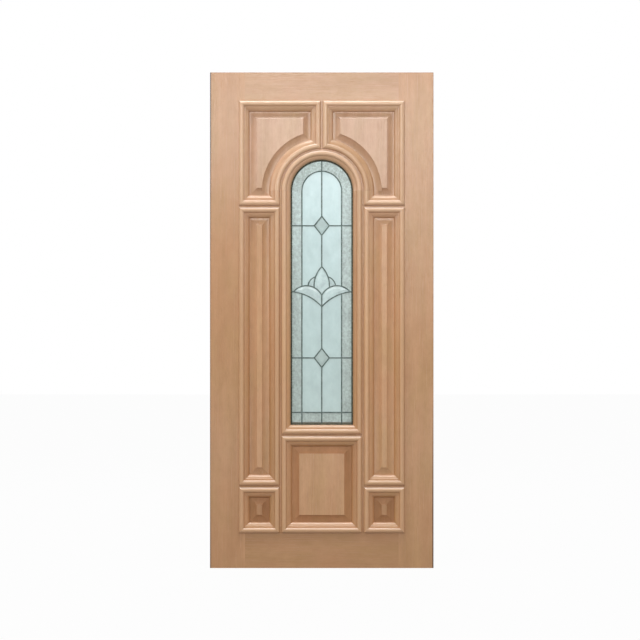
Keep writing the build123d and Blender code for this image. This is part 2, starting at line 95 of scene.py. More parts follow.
# Painted shade in the recesses, a painted highlight on what stands proud, and more of it on ledges that face up.
RECESS_SHADE = (0.66, 0.47, 0.32)
CROWN_HIGHLIGHT = (0.80, 0.55, 0.36)
LEDGE_HIGHLIGHT = (0.90, 0.80, 0.70)
LEDGE_TILT = (0.2, 0.9)
LEDGE_OPENNESS = (0.3, -0.2)
LEDGE_SHARE = 0.50
SATIN_RANGE = (0.3, 0.7, 0.29, 0.22)
DULLED_RANGE = (0.14, 0.24, 0.0, 0.40)
GRAIN_STRENGTH = 0.22
GRAIN_DEPTH = 0.0006


def put(tree, kind, sockets=(), **settings):
    """One shader node; sockets pair an input's name or number with a value or another node's output."""
    made = tree.nodes.new("ShaderNode" + kind)
    for name, value in settings.items():
        setattr(made, name, value)
    for key, value in sockets:
        if isinstance(value, bpy.types.NodeSocket):
            tree.links.new(value, made.inputs[key])
        elif isinstance(value, tuple) and len(value) == 3 and made.inputs[key].type == "RGBA":
            made.inputs[key].default_value = (*value, 1.0)
        else:
            made.inputs[key].default_value = value
    return made


def blend(tree, factor, first, second, mode="MIX"):
    """Colour mixed from two by a factor."""
    sockets = [(0, factor), (6, first), (7, second)]
    return put(tree, "Mix", sockets, data_type="RGBA", blend_type=mode).outputs[2]


def spread(tree, value, low, high, to_low=0.0, to_high=1.0):
    """Value carried from one range to another, and held at its ends."""
    sockets = [("Value", value), (1, low), (2, high), (3, to_low), (4, to_high)]
    return put(tree, "MapRange", sockets).outputs["Result"]


def work(tree, operation, first, second=0.0, third=0.0, clamp=False):
    """Value worked out from up to three others."""
    sockets = [(0, first), (1, second), (2, third)]
    return put(tree, "Math", sockets, operation=operation, use_clamp=clamp).outputs[0]


def axes(tree, vector):
    """The three parts of a vector, by name."""
    return put(tree, "SeparateXYZ", [(0, vector)]).outputs


def on_piece(tree):
    """Place on the piece, in metres."""
    return put(tree, "TexCoord").outputs["Object"]


def speckle(tree, vector, stretch=(1.0, 1.0, 1.0), scale=1.0, detail=2.0, roughness=0.5):
    """Noise on a vector that is stretched first, one factor for each axis."""
    stretched = put(tree, "VectorMath", [(0, vector), (1, stretch)], operation="MULTIPLY").outputs[0]
    sockets = [("Vector", stretched), ("Scale", scale), ("Detail", detail), ("Roughness", roughness)]
    return put(tree, "TexNoise", sockets).outputs["Fac"]


def group(name, inputs, outputs):
    """Empty shader node group with named sockets, and its input and output nodes."""
    tree = bpy.data.node_groups.new(name, "ShaderNodeTree")
    for label, kind in inputs:
        tree.interface.new_socket(label, in_out="INPUT", socket_type="NodeSocket" + kind)
    for label, kind in outputs:
        tree.interface.new_socket(label, in_out="OUTPUT", socket_type="NodeSocket" + kind)
    return tree, tree.nodes.new("NodeGroupInput"), tree.nodes.new("NodeGroupOutput")


def new_material(name):
    """Empty material, with its nodes and its shader."""
    material = bpy.data.materials.new(name)
    material.use_nodes = True
    return material, material.node_tree, material.node_tree.nodes["Principled BSDF"]


def timber_grain():
    """Node group: sawn hardwood whose grain runs along the third axis of its vector.

    Slow noise stretched along the grain gives the broad figure, quick noise the fine lines, hardly stretched noise
    the blotches, noise cut off near its top the open pores, and slow noise the pink and olive clouds.  Painted
    shade darkens it where the recess is over nothing.  What stands proud, with a recess under nothing, gets a
    painted highlight, paler still where it faces up.
    """
    tree, given, result = group(
        "timber grain",
        [("Vector", "Vector"), ("Pale", "Color"), ("Deep", "Color"), ("Tone", "Float"), ("Recess", "Float"),
         ("Upward", "Float")],
        [("Color", "Color"), ("Roughness", "Float"), ("Height", "Float")],
    )
    vector = given.outputs["Vector"]
    lines = speckle(tree, vector, **FINE_LINES)
    level = work(tree, "MULTIPLY_ADD", speckle(tree, vector, **FIGURE), FIGURE_SHARE, LEVEL_SHIFT)
    level = work(tree, "MULTIPLY_ADD", lines, LINES_SHARE, level)
    level = work(tree, "MULTIPLY_ADD", speckle(tree, vector, **BLOTCHES), BLOTCHES_SHARE, level)
    level = work(tree, "ADD", level, given.outputs["Tone"], clamp=True)
    colour = blend(tree, level, given.outputs["Deep"], given.outputs["Pale"])
    clouds = speckle(tree, vector, **CLOUDS)
    colour = blend(tree, spread(tree, clouds, *PINK_RANGE), colour, PINK_CAST, "MULTIPLY")
    colour = blend(tree, spread(tree, clouds, *OLIVE_RANGE), colour, OLIVE_CAST, "MULTIPLY")
    pores = spread(tree, speckle(tree, vector, **OPEN_PORES), *PORE_RANGE)
    colour = blend(tree, work(tree, "MULTIPLY", pores, PORE_SHARE), colour, PORE_DARK)
    recess = given.outputs["Recess"]
    # Painted shade where the recess is over nothing, and a painted highlight where it is under nothing.
    colour = blend(tree, spread(tree, recess, 0.0, 1.0), colour, RECESS_SHADE, "MULTIPLY")
    colour = blend(tree, spread(tree, recess, 0.0, -1.0), colour, CROWN_HIGHLIGHT)
    # A painted highlight on proud parts that face up.
    facing_up = spread(tree, given.outputs["Upward"], *LEDGE_TILT)
    ledge = work(tree, "MULTIPLY", facing_up, spread(tree, recess, *LEDGE_OPENNESS))
    colour = blend(tree, work(tree, "MULTIPLY", ledge, LEDGE_SHARE), colour, LEDGE_HIGHLIGHT)
    tree.links.new(colour, result.inputs["Color"])
    satin = spread(tree, lines, *SATIN_RANGE)
    dulled = spread(tree, recess, *DULLED_RANGE)
    tree.links.new(work(tree, "ADD", satin, dulled), result.inputs["Roughness"])
    tree.links.new(work(tree, "MULTIPLY_ADD", pores, PORE_DEPTH, lines), result.inputs["Height"])
    return tree


def timber_surface(tree, shader, vector, pale, deep, tone):
    """Satin timber, with its grain on a vector and its painted shade where the mesh is marked as a recess."""
    recess = put(tree, "Attribute", attribute_name="recess").outputs["Fac"]
    upward = axes(tree, put(tree, "NewGeometry").outputs["Normal"])["Z"]
    sockets = [("Vector", vector), ("Pale", pale), ("Deep", deep), ("Tone", tone), ("Recess", recess),
               ("Upward", upward)]
    grain = put(tree, "Group", sockets, node_tree=timber).outputs
    sockets = [("Strength", GRAIN_STRENGTH), ("Distance", GRAIN_DEPTH), ("Height", grain["Height"])]
    bump = put(tree, "Bump", sockets)
    tree.links.new(grain["Color"], shader.inputs["Base Color"])
    tree.links.new(grain["Roughness"], shader.inputs["Roughness"])
    tree.links.new(bump.outputs["Normal"], shader.inputs["Normal"])


def member_timber(name, turn, pale, deep, tone):
    """Material of one member: the grain turned to its length and cut from its own place in the log."""
    material, tree, shader = new_material(name + "_timber")
    place = tuple(timber_log.uniform(-LOG_REACH, LOG_REACH, 3))
    sockets = [("Vector", on_piece(tree)), ("Location", place), ("Rotation", turn)]
    laid = put(tree, "Mapping", sockets).outputs["Vector"]
    timber_surface(tree, shader, laid, pale, deep, tone)
    return material


def finish_node(name, material):
    """Gives a CAD node its finished material."""
    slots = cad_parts[name].data.materials
    slots.clear()
    slots.append(material)


def paint_leaf_edge_shade(material, edge, inner, fades):
    """Paints shade on a member's timber along one long edge, by as much as the greatest of its fades by height."""
    tree = material.node_tree
    base = tree.nodes["Principled BSDF"].inputs["Base Color"]
    timber_colour = base.links[0].from_socket
    place = axes(tree, on_piece(tree))
    strip = spread(tree, place["X"], inner, edge + LEAF_EDGE_SHADE_SOFTNESS * (inner - edge))
    depth = work(tree, "MAXIMUM", *(spread(tree, place["Z"], *fade) for fade in fades))
    tree.links.new(blend(tree, work(tree, "MULTIPLY", strip, depth), timber_colour, LEAF_EDGE_SHADE), base)


leaf_lo, leaf_hi = cad_box
outer_edges = {
    "hinge_stile": (leaf_lo.x, leaf_lo.x + LEAF_EDGE_SHADE_WIDTH),
    "lock_stile": (leaf_hi.x, leaf_hi.x - LEAF_EDGE_SHADE_WIDTH),
}
timber = timber_grain()
timber_log = np.random.default_rng(LOG_SEED)
for upright, upright_tone in UPRIGHT_TONES.items():
    upright_timber = member_timber(upright, GRAIN_UP, STILE_PALE, STILE_DEEP, upright_tone)
    finish_node(upright, upright_timber)
    if upright in outer_edges:
        # Painted shade along the outer edge of this stile.
        paint_leaf_edge_shade(upright_timber, *outer_edges[upright], LEAF_EDGE_SHADE_FADE[upright])


# Rails and arch head: the level members, tenoned into the stiles and mullions, and the arched head over the
# glass, sawn from one wide board.  Their grain runs across the leaf.
GRAIN_ACROSS = (0.0, math.pi / 2, 0.0)
RAIL_PALE = (0.563, 0.313, 0.158)
RAIL_DEEP = (0.388, 0.196, 0.081)
# The top rail's paler, greyer colour is painted sheen at the top of the door.
TOP_RAIL_SHEEN_PALE = (0.545, 0.318, 0.180)
RAIL_TONES = {
    "top_rail": 0.0, "bottom_rail": -0.2, "sill_rail": 0.0, "arch_head": 0.0, "left_upper_rail": -0.1,
    "right_upper_rail": 0.0, "left_lower_rail": -0.1, "right_lower_rail": 0.0,
}

for rail, rail_tone in RAIL_TONES.items():
    rail_pale = TOP_RAIL_SHEEN_PALE if rail == "top_rail" else RAIL_PALE
    finish_node(rail, member_timber(rail, GRAIN_ACROSS, rail_pale, RAIL_DEEP, rail_tone))


# Raised panels: solid timber with the grain upright, held loose in grooves of the frame.  Each is fielded on both
# faces: a hollow cut all round leaves a raised field with a crisp edge, and the hollow is darkened with painted
# shade.
PANEL_PALE = (0.578, 0.324, 0.165)
PANEL_DEEP = (0.348, 0.168, 0.066)
# The spandrel boards' paler, greyer colour is painted sheen at the top of the door.
SPANDREL_SHEEN_PALE = (0.590, 0.360, 0.225)
PANEL_TONES = {
    "bottom": 0.15, "left_spandrel": 0.1, "right_spandrel": 0.1, "left_tall": 0.1, "right_tall": 0.3,
    "left_small": -0.35, "right_small": -0.35,
}
# Painted shade in each kind of panel's hollow: at the step by the field, and at the margin.
STEP_SHADE = {"bottom": 0.58, "spandrel": 0.16, "tall": 0.20, "small": 0.28}
MARGIN_SHADE = {"bottom": 0.48, "spandrel": 0.0, "tall": 0.0, "small": 0.28}
PANEL_TONGUE = 0.008
PANEL_TOE = 0.018
PANEL_MARGIN = -0.014
PANEL_FIELD = -0.002
PANEL_BEVEL = 0.030
PANEL_HOLLOW = 0.0023
HOLLOW_POINTS = 16
FIELD_STEP = 0.003
FIELD_ARRIS = 0.0003
PANEL_CREASE = 4.0
STEPS_TO_A_LENGTH = 12
STEPS_TO_AN_ARCH = 72


def arc_through(first, middle, last, count):
    """Points on the circle through three points, stepped evenly in angle from the first to the last."""
    a, b, c = (complex(*point) for point in (first, middle, last))
    w = (c - a) / (b - a)
    centre = (b - a) * (w - abs(w) ** 2) / (2j * w.imag) + a
    turn = np.angle((b - centre) / (a - centre)) + np.angle((c - centre) / (b - centre))
    points = centre + (a - centre) * np.exp(1j * turn * np.linspace(0.0, 1.0, count))
    return np.column_stack([points.real, points.imag])


def bowed(first, last, bulge):
    """Middle of an arc between two points that stands off their chord, to the left of its direction."""
    run, rise = last[0] - first[0], last[1] - first[1]
    share = bulge / math.hypot(run, rise)
    return (first[0] + last[0]) / 2 - share * rise, (first[1] + last[1]) / 2 + share * run


def side(start, end, centre=None, turn=0):
    """One side of an opening, with the opening on its left: its ends, and an arc's centre and turn."""
    return {"start": np.array(start), "end": np.array(end), "turn": turn,
            "centre": None if centre is None else np.array(centre)}


def ring(*corners):
    """Closed run of straight sides through corners."""
    return [side(a, b) for a, b in zip(corners, corners[1:] + corners[:1])]


def mirrored(sides, middle):
    """The same sides on the other side of a middle line, run the other way."""
    flip = np.array([-1.0, 1.0])
    shift = np.array([2 * middle, 0.0])
    return [
        side(shift + flip * edge["end"], shift + flip * edge["start"],
             None if edge["centre"] is None else shift + flip * edge["centre"], edge["turn"])
        for edge in reversed(sides)
    ]


def inward(edge, point):
    """Unit vector from a side into its opening: along an arc's radius, or across a straight run."""
    if edge["turn"]:
        out = (edge["centre"] - point) * edge["turn"]
    else:
        run = edge["end"] - edge["start"]
        out = np.array([-run[1], run[0]])
    return out / np.linalg.norm(out)


def meeting(before, after, insets):
    """Points where two sides meet once both are moved inward by each inset.

    Two straight runs meet on their bisector.  An arc and a run meet where the moved run cuts the moved circle, at
    the cut nearer to the old corner.
    """
    corner = after["start"]
    if not before["turn"] and not after["turn"]:
        bisector = inward(before, corner) + inward(after, corner)
        return corner + np.outer(insets, bisector * 2 / (bisector @ bisector))
    arc, run = (before, after) if before["turn"] else (after, before)
    across = inward(run, corner)
    along = np.array([across[1], -across[0]])
    radius = np.linalg.norm(corner - arc["centre"]) - arc["turn"] * insets
    reach = corner + np.outer(insets, across) - arc["centre"]
    middle = -reach @ along
    half_chord = np.sqrt(np.maximum(0.0, middle ** 2 - (reach ** 2).sum(1) + radius ** 2))
    near, far = middle - half_chord, middle + half_chord
    travel = np.where(np.abs(near) < np.abs(far), near, far)
    return arc["centre"] + reach + travel[:, None] * along


def run_of_length(before, edge, after, insets, gap=0.0):
    """Grid of points of one side, mitred to its neighbours: steps along it by insets, in the leaf's plane.

    Along a straight run the ends are mixed evenly.  Round an arch the angle is, about the arch's centre.
    """
    first, last = meeting(before, edge, insets), meeting(edge, after, insets)
    if not edge["turn"]:
        cut = gap / 2 / np.linalg.norm(edge["end"] - edge["start"])
        share = np.linspace(cut, 1.0 - cut, STEPS_TO_A_LENGTH)[:, None, None]
        return first + share * (last - first)
    centre, turn = edge["centre"], edge["turn"]
    from_centre = first - centre
    radius = np.linalg.norm(from_centre, axis=1)
    start = np.arctan2(from_centre[:, 1], from_centre[:, 0])
    end = np.arctan2(last[:, 1] - centre[1], last[:, 0] - centre[0])
    sweep = np.mod((end - start) * turn, 2 * math.pi) * turn
    cut = gap / 2 / np.abs(radius * sweep).mean()
    share = np.linspace(cut, 1.0 - cut, STEPS_TO_AN_ARCH)[:, None]
    angle = start + share * sweep
    return centre + radius[:, None] * np.stack([np.cos(angle), np.sin(angle)], -1)


def neighbours(sides):
    """Each side with the one before it and the one after it."""
    return zip(sides[-1:] + sides[:-1], sides, sides[1:] + sides[:1])


def surface(name, points, faces, crease, values=(), uv=None):
    """Object from arrays of points and faces, smooth up to an angle in degrees.

    It has named values by point, and a map by face corner if given.
    """
    mesh = bpy.data.meshes.new(name)
    mesh.from_pydata(points, [], faces)
    for label, value in values:
        mesh.attributes.new(label, "FLOAT", "POINT").data.foreach_set("value", value.astype(np.float32))
    if uv is not None:
        mesh.uv_layers.new(name="grain").uv.foreach_set("vector", np.ravel(uv).astype(np.float32))
    mesh.shade_smooth()
    mesh.set_sharp_from_angle(angle=math.radians(crease))
    made = bpy.data.objects.new(name, mesh)
    bpy.context.scene.collection.objects.link(made)
    return made


def panel_section(step_shade, margin_shade):
    """Half section of a panel, as inset from the opening's edge and height above the leaf's face, and its painted
    shade.

    From the field's edge it goes down the step, along an arc hollowed below its chord, and out along the tongue.
    The painted shade thins from the step to the margin with the square of the way that is left.
    """
    field_edge = PANEL_TOE + PANEL_BEVEL
    brink, foot = (field_edge, PANEL_FIELD - FIELD_STEP), (PANEL_TOE, PANEL_MARGIN)
    hollow = arc_through(brink, bowed(brink, foot, PANEL_HOLLOW), foot, HOLLOW_POINTS)
    points = np.vstack([
        [(field_edge + FIELD_ARRIS, PANEL_FIELD), (field_edge, PANEL_FIELD - FIELD_ARRIS)],
        hollow,
        [(-PANEL_TONGUE, PANEL_MARGIN)],
    ])
    thinning = np.concatenate([np.linspace(1.0, 0.0, HOLLOW_POINTS) ** 2, [0.0]])
    below = margin_shade + (step_shade - margin_shade) * thinning
    painted_shading = np.concatenate([[0.0, step_shade / 2], below])
    return points, painted_shading


def raised_panel(name, sides, section, painted_shading):
    """Panel as one closed surface: a ring round the opening for each section point, and two flat fields."""
    grid = np.concatenate([
        run_of_length(before, edge, after, section[:, 0])[:-1] for before, edge, after in neighbours(sides)
    ])
    grid = np.concatenate([grid, grid[:, ::-1]], axis=1)
    depth = leaf_face - section[:, 1]
    depth = np.broadcast_to(np.concatenate([depth, -depth[::-1]]), grid.shape[:2])
    steps, count = depth.shape
    points = np.stack([grid[..., 0], depth, grid[..., 1]], -1).reshape(-1, 3)
    numbers = np.meshgrid(np.arange(steps), np.arange(count - 1), indexing="ij")
    step, point = (axis.ravel() for axis in numbers)
    after = (step + 1) % steps
    rows = np.stack([step, step, after, after], 1)
    squares = rows * count + np.stack([point, point + 1, point + 1, point], 1)
    front_field = np.arange(steps) * count
    back_field = front_field[::-1] + count - 1
    faces = squares.tolist() + [front_field.tolist(), back_field.tolist()]
    # The recess value carries the painted shade of each section point.
    recess = np.tile(np.concatenate([painted_shading, painted_shading[::-1]]), steps)
    return surface(name, points, faces, PANEL_CREASE, [("recess", recess)])


middle_x = (leaf_lo.x + leaf_hi.x) / 2
leaf_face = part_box("hinge_stile")[0].y
stile_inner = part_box("hinge_stile")[1].x
upper_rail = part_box("left_upper_rail")
lower_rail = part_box("left_lower_rail")
sill_lo, sill_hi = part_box("sill_rail")
arch_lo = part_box("arch_head")[0]
mullion_outer = arch_lo.x
tenon = stile_inner - upper_rail[0].x
glass_left = sill_lo.x + tenon
glass_right = 2 * middle_x - glass_left
bottom_rail_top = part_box("bottom_rail")[1].z
top_rail_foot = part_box("top_rail")[0].z
spring = arch_lo.z
arch_centre = (middle_x, spring)
arch_outer = middle_x - mullion_outer
top_mullion_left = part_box("top_mullion")[0].x
arch_meets_mullion = spring + math.sqrt(arch_outer ** 2 - (middle_x - top_mullion_left) ** 2)

spandrel = [
    side((stile_inner, upper_rail[1].z), (mullion_outer, upper_rail[1].z)),
    side((mullion_outer, upper_rail[1].z), (mullion_outer, spring)),
    side((mullion_outer, spring), (top_mullion_left, arch_meets_mullion), arch_centre, -1),
    side((top_mullion_left, arch_meets_mullion), (top_mullion_left, top_rail_foot)),
    side((top_mullion_left, top_rail_foot), (stile_inner, top_rail_foot)),
    side((stile_inner, top_rail_foot), (stile_inner, upper_rail[1].z)),
]
tall = ring(
    (stile_inner, lower_rail[1].z), (mullion_outer, lower_rail[1].z),
    (mullion_outer, upper_rail[0].z), (stile_inner, upper_rail[0].z),
)
small = ring(
    (stile_inner, bottom_rail_top), (mullion_outer, bottom_rail_top),
    (mullion_outer, lower_rail[0].z), (stile_inner, lower_rail[0].z),
)
panel_openings = {
    "bottom": ring(
        (glass_left, bottom_rail_top), (glass_right, bottom_rail_top),
        (glass_right, sill_lo.z), (glass_left, sill_lo.z),
    ),
}
for opening, sides in (("spandrel", spandrel), ("tall", tall), ("small", small)):
    panel_openings["left_" + opening] = sides
    panel_openings["right_" + opening] = mirrored(sides, middle_x)

for opening, sides in panel_openings.items():
    kind = opening.split("_")[-1]
    section, painted_shading = panel_section(STEP_SHADE[kind], MARGIN_SHADE[kind])
    panel = raised_panel(opening + "_panel_boards", sides, section, painted_shading)
    panel_pale = SPANDREL_SHEEN_PALE if kind == "spandrel" else PANEL_PALE
    boards = member_timber(opening + "_panel", GRAIN_UP, panel_pale, PANEL_DEEP, PANEL_TONES[opening])
    panel.data.materials.append(boards)
    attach(panel, "root")
    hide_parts(opening + "_panel")


# Bolection mouldings: lengths run to one section, mitred at the corners and planted round every panel and round
# the glass on both faces.  A round rim laps the frame, and an ovolo falls from a quirk to the panel or the glass.
# Towards the top of the door they are painted paler and greyer, a painted sheen.
MOULDING_LAP = 0.025
RIM_EDGE = 0.003
RIM_WIDTH = 0.022
RIM_BULGE = 0.0075
RIM_POINTS = 22
QUIRK_TOP = 0.006
QUIRK_FLOOR = 0.0035
QUIRK_WIDTH = 0.0015
OVOLO_FOOT = -0.010
OVOLO_BULGE = 0.003
OVOLO_POINTS = 12
PANEL_SEAT = 0.014
GLASS_TOE = 0.0125
GLASS_SEAT = 0.0165
REBATE_FIT = 0.0008
MITRE_GAP = 0.00025
MOULDING_CREASE = 32.0
MOULDING_PALE = (0.582, 0.314, 0.150)
MOULDING_SHEEN_PALE = (0.640, 0.400, 0.250)
SHEEN_FOOT, SHEEN_TOP = 0.85, 1.75
MOULDING_DEEP = (0.405, 0.203, 0.085)
LENGTH_TONES = 0.16
GRAIN_PLANE = 3.0
# Painted shade at the lap, on the rim's sides, in the quirk, down the ovolo and on hidden faces; a painted
# highlight on the rim's crown.
LAP_SHADE = 0.7
RIM_SIDE_SHADE = 0.7
RIM_SIDE_SHARPNESS = 6
RIM_CROWN_HIGHLIGHT = 0.22
QUIRK_SHADE = 0.5
OVOLO_SHADE = (0.06, 0.14)
HIDDEN_SHADE = 1.0


def moulding_section(toe, seat):
    """Closed section, as inset from the opening's edge and height above the leaf's face, and its painted shading.

    It goes up the rim's outer edge, over its arc, down the quirk, along the ovolo's arc to the toe, and back under.
    The rim has a painted highlight on its crown, and painted shade grows to both sides with a high power of the way
    from the crown.
    """
    quirk = RIM_WIDTH - MOULDING_LAP
    rim_foot, rim_top = (-MOULDING_LAP, RIM_EDGE), (quirk, QUIRK_TOP)
    shelf, foot = (quirk + QUIRK_WIDTH, QUIRK_FLOOR), (toe, OVOLO_FOOT)
    points = np.vstack([
        [(-MOULDING_LAP, 0.0)],
        arc_through(rim_foot, bowed(rim_foot, rim_top, RIM_BULGE), rim_top, RIM_POINTS),
        [(quirk, QUIRK_FLOOR)],
        arc_through(shelf, bowed(shelf, foot, OVOLO_BULGE), foot, OVOLO_POINTS),
        [(toe, -seat), (REBATE_FIT, -seat), (REBATE_FIT, 0.0)],
    ])
    across = np.linspace(-1.0, 1.0, RIM_POINTS)
    painted_shading = np.concatenate([
        [LAP_SHADE],
        RIM_SIDE_SHADE * across ** RIM_SIDE_SHARPNESS - RIM_CROWN_HIGHLIGHT,
        [QUIRK_SHADE],
        np.linspace(*OVOLO_SHADE, OVOLO_POINTS),
        [HIDDEN_SHADE, HIDDEN_SHADE, HIDDEN_SHADE],
    ])
    return points, painted_shading


def tube_faces(steps, count, offset, flipped):
    """Faces of a closed section carried along a path: a square for each step and section point, and two ends.

    Also the two grid numbers of each face corner, step and section point, the latter running on past the seam.
    """
    numbers = np.meshgrid(np.arange(steps - 1), np.arange(count), indexing="ij")
    step, point = (axis.ravel() for axis in numbers)
    steps_at = np.stack([step, step, step + 1, step + 1], 1)
    points_at = np.stack([point, point + 1, point + 1, point], 1)
    if flipped:
        steps_at, points_at = steps_at[:, ::-1], points_at[:, ::-1]
    squares = offset + steps_at * count + points_at % count
    near = offset + np.arange(count)[:: 1 if flipped else -1]
    far = offset + (steps - 1) * count + np.arange(count)[:: -1 if flipped else 1]
    ends_at = [np.zeros(count, int), np.full(count, steps - 1)]
    ends_points = [near - offset, far - offset - (steps - 1) * count]
    return (
        squares.tolist() + [near.tolist(), far.tolist()],
        np.concatenate([steps_at.ravel(), *ends_at]),
        np.concatenate([points_at.ravel(), *ends_points]),
    )


def mitred_lengths(name, sides, section, painted_shading, outer_face, flipped):
    """Lengths of one section round an opening, mitred at the corners, as closed bars on the face at a depth.

    The map runs along each length and round its section in metres, and each length has a tone of its own.
    """
    girth = np.linalg.norm(np.diff(section, axis=0, append=section[:1]), axis=1)
    perimeter = np.concatenate([[0.0], np.cumsum(girth)])
    height = outer_face + (1 if flipped else -1) * section[:, 1]
    points, faces, uv, tones, recesses = [], [], [], [], []
    offset = 0
    for before, edge, after in neighbours(sides):
        grid = run_of_length(before, edge, after, section[:, 0], MITRE_GAP)
        steps, count = grid.shape[:2]
        depth = np.broadcast_to(height, (steps, count))
        points.append(np.stack([grid[..., 0], depth, grid[..., 1]], -1).reshape(-1, 3))
        made, step_at, point_at = tube_faces(steps, count, offset, flipped)
        travel = np.linalg.norm(np.diff(grid[:, 1], axis=0, prepend=grid[:1, 1]), axis=1).cumsum()
        start = timber_log.uniform(0.0, LOG_REACH)
        uv.append(np.column_stack([start + travel[step_at], perimeter[point_at]]))
        tones.append(np.full(steps * count, timber_log.uniform(-LENGTH_TONES, LENGTH_TONES)))
        recesses.append(np.tile(painted_shading, steps))
        faces += made
        offset += steps * count
    values = [("tone", np.concatenate(tones)), ("recess", np.concatenate(recesses))]
    return surface(name, np.vstack(points), faces, MOULDING_CREASE, values, np.vstack(uv))


def moulding_timber():
    """Material of the mouldings: the grain along each length, from the map, the tone of its length, and a painted
    sheen towards the top.
    """
    material, tree, shader = new_material("moulding_timber")
    along = axes(tree, put(tree, "UVMap", uv_map="grain").outputs["UV"])
    laid = put(tree, "CombineXYZ", [("X", along["Y"]), ("Y", GRAIN_PLANE), ("Z", along["X"])]).outputs[0]
    tone = put(tree, "Attribute", attribute_name="tone").outputs["Fac"]
    # Painted sheen: the pale colour moves to a paler, greyer one towards the top of the door.
    sheen_share = spread(tree, axes(tree, on_piece(tree))["Z"], SHEEN_FOOT, SHEEN_TOP)
    pale = blend(tree, sheen_share, MOULDING_PALE, MOULDING_SHEEN_PALE)
    timber_surface(tree, shader, laid, pale, MOULDING_DEEP, tone)
    return material


glass = [
    side((glass_left, sill_hi.z), (glass_right, sill_hi.z)),
    side((glass_right, sill_hi.z), (glass_right, spring)),
    side((glass_right, spring), (glass_left, spring), arch_centre, 1),
    side((glass_left, spring), (glass_left, sill_hi.z)),
]
moulded = {opening: (sides, PANEL_TOE, PANEL_SEAT) for opening, sides in panel_openings.items()}
moulded["glass"] = (glass, GLASS_TOE, GLASS_SEAT)
faces_of_leaf = (("front", leaf_face, False), ("back", -leaf_face, True))

moulding_finish = moulding_timber()
for opening, (sides, toe, seat) in moulded.items():
    section, painted_shading = moulding_section(toe, seat)
    for face_name, outer_face, flipped in faces_of_leaf:
        node = f"{face_name}_{opening}_moulding"
        moulding = mitred_lengths(node + "_lengths", sides, section, painted_shading, outer_face, flipped)
        moulding.data.materials.append(moulding_finish)
        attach(moulding, "root")
        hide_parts(node)


# Panes: drawn glass in the field, stippled glass in the border, and ground bevels in the diamonds and the tulip.
# Each is cut to its shape and held by the cames on all its edges.  The border is darkened by grime and painted
# shade along the edge of the light, by painted shade in the arch, and by a painted shadow line on its foot.
FIELD_GLASS = {
    "tint": (0.715, 0.890, 0.898), "transmission": 0.45, "roughness": 0.22,
    "ripple_scale": 40.0, "ripple_depth": 0.0006, "mottle": 0.04, "clouds": 0.10,
}
BORDER_GLASS = {
    "tint": (0.735, 0.880, 0.865), "transmission": 0.45, "roughness": 0.30,
    "ripple_scale": 150.0, "ripple_depth": 0.0012, "mottle": 0.30, "clouds": 0.16,
}
DIAMOND_GLASS = {
    "tint": (0.625, 0.770, 0.758), "transmission": 0.50, "roughness": 0.12,
    "ripple_scale": 60.0, "ripple_depth": 0.0003, "mottle": 0.10, "clouds": 0.10,
}
TULIP_GLASS = {
    "tint": (0.810, 0.985, 0.990), "transmission": 0.50, "roughness": 0.12,
    "ripple_scale": 90.0, "ripple_depth": 0.0006, "mottle": 0.16, "clouds": 0.20,
}
GLASS_IOR = 1.5
RIPPLE_STRENGTH = 0.6
GLASS_MOTTLE = {"stretch": (1.0, 1.0, 0.8), "detail": 4.0, "roughness": 0.65}
MOTTLE_TO_RIPPLE = 0.6
MOTTLE_RANGE = (0.36, 0.62, -1.0, 0.0)
GLASS_CLOUDS = {"stretch": (1.0, 1.0, 0.5), "scale": 22.0, "detail": 3.0, "roughness": 0.6}
GLASS_CLOUD_RANGE = (0.34, 0.64, -1.0, 0.0)
# Painted shade: the glass darkens towards the foot of the light.
GLASS_FOOT_SHADE = (0.88, 0.865, 0.835)
GLASS_SHADE_TOP, GLASS_SHADE_FOOT = 1.65, 0.65
EDGE_CAME_REACH = 0.019
# Grime and painted shade along the edge of the light; painted shade in the arch, under the moulding.
BORDER_GRIME_AND_SHADE = (0.60, 0.64, 0.59)
GRIME_BLOTCHES = {"scale": 150.0, "detail": 3.0, "roughness": 0.6}
GRIME_BLOTCH_RANGE = (0.40, 0.62)
EDGE_GRIME_AND_SHADE_WIDTH = 0.016
GRIME_EVERYWHERE = 0.25
ARCH_SHADE = 0.9
ARCH_SHADE_FADE = 0.06
# A painted shadow line along the glass's foot: its colour and its height.
FOOT_SHADOW_LINE = (0.110, 0.085, 0.045)
SHADOW_LINE_HEIGHT = 0.006


def glass_cast():
    """Node group: glass that is never quite even, and darker towards its foot with painted shade.

    Noise of a given scale gives the ripple or the stipple and its shade, slow noise the clouds, and the height over
    the leaf's foot the painted shade.
    """
    tree, given, result = group(
        "glass cast",
        [("Vector", "Vector"), ("Tint", "Color"), ("Scale", "Float"), ("Mottle", "Float"), ("Clouds", "Float")],
        [("Color", "Color"), ("Height", "Float")],
    )
    vector, scale = given.outputs["Vector"], given.outputs["Scale"]
    mottle = speckle(tree, vector, scale=work(tree, "MULTIPLY", scale, MOTTLE_TO_RIPPLE), **GLASS_MOTTLE)
    mottle = spread(tree, mottle, *MOTTLE_RANGE)
    clouds = spread(tree, speckle(tree, vector, **GLASS_CLOUDS), *GLASS_CLOUD_RANGE)
    mottled = work(tree, "MULTIPLY_ADD", mottle, given.outputs["Mottle"], 1.0)
    clouded = work(tree, "MULTIPLY_ADD", clouds, given.outputs["Clouds"], 1.0)
    shade = work(tree, "MULTIPLY", mottled, clouded)
    grey = put(tree, "CombineColor", [(0, shade), (1, shade), (2, shade)]).outputs[0]
    colour = blend(tree, 1.0, given.outputs["Tint"], grey, "MULTIPLY")
    # Painted shade, darker towards the foot of the light.
    foot_shade = spread(tree, axes(tree, vector)["Z"], GLASS_SHADE_TOP, GLASS_SHADE_FOOT)
    tree.links.new(blend(tree, foot_shade, colour, GLASS_FOOT_SHADE, "MULTIPLY"), result.inputs["Color"])
    tree.links.new(speckle(tree, vector, scale=scale), result.inputs["Height"])
    return tree


